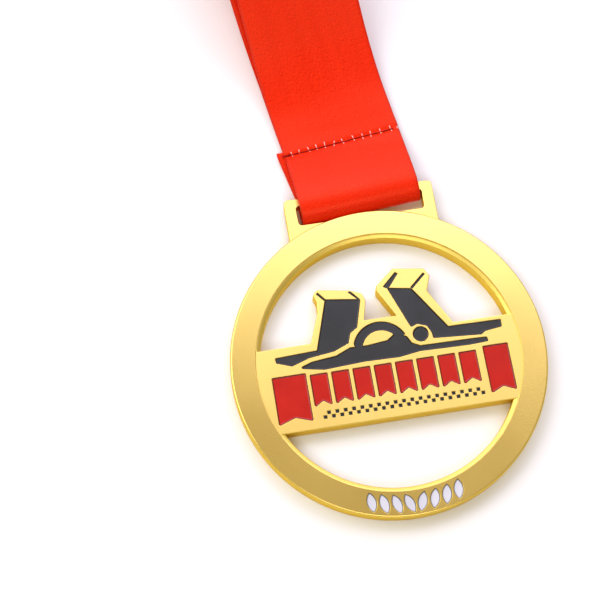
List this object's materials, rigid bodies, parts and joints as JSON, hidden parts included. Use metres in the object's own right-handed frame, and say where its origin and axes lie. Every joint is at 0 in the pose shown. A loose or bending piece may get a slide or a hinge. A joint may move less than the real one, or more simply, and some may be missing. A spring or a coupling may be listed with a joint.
{
  "type": "sports finisher medal",
  "caption": "Pierced gold ring medal with an enamelled plate and a sewn satin neck ribbon that swings on its slotted lug.",
  "frame": {"origin": "centre of the ring on the medal's flat back face", "axes": "+Z out of the medal's face, +Y from the ring's centre towards the ribbon lug, +X to the right when the face is looked at"},
  "size_m": [0.076, 0.1781, 0.0289],
  "materials": {
    "gold_plate": "satin gold plating over a zinc casting",
    "enamel_black": "soft enamel fill, slightly sunken",
    "enamel_red": "soft enamel fill, slightly sunken",
    "enamel_white": "soft enamel fill, slightly sunken",
    "ribbon_satin": "woven polyester satin",
    "seam_thread": "polyester sewing thread"
  },
  "bodies": {
    "medal": {"medal_casting": "gold_plate", "enamel_left_tower": "enamel_black", "enamel_right_tower": "enamel_black", "enamel_swimmer_body": "enamel_black", "enamel_swimmer_head": "enamel_black", "enamel_chequered_line": "enamel_black", "enamel_pennant_left": "enamel_red", "enamel_pennant_1": "enamel_red", "enamel_pennant_2": "enamel_red", "enamel_pennant_3": "enamel_red", "enamel_pennant_4": "enamel_red", "enamel_pennant_5": "enamel_red", "enamel_pennant_6": "enamel_red", "enamel_pennant_7": "enamel_red", "enamel_pennant_8": "enamel_red", "enamel_pennant_right": "enamel_red", "enamel_leaf_left_1": "enamel_white", "enamel_leaf_left_2": "enamel_white", "enamel_leaf_left_3": "enamel_white", "enamel_leaf_left_4": "enamel_white", "enamel_leaf_right_1": "enamel_white", "enamel_leaf_right_2": "enamel_white", "enamel_leaf_right_3": "enamel_white", "enamel_leaf_right_4": "enamel_white"},
    "ribbon": {"neck_ribbon": "ribbon_satin", "seam_thread": "seam_thread"}
  },
  "joints": [
    {"name": "ribbon_swing", "type": "hinge", "parent": "medal", "child": "ribbon", "pos_m": [0, 0.0431, 0.00245], "axis": [1, 0, 0], "range_deg": [-110, 110]}
  ]
}
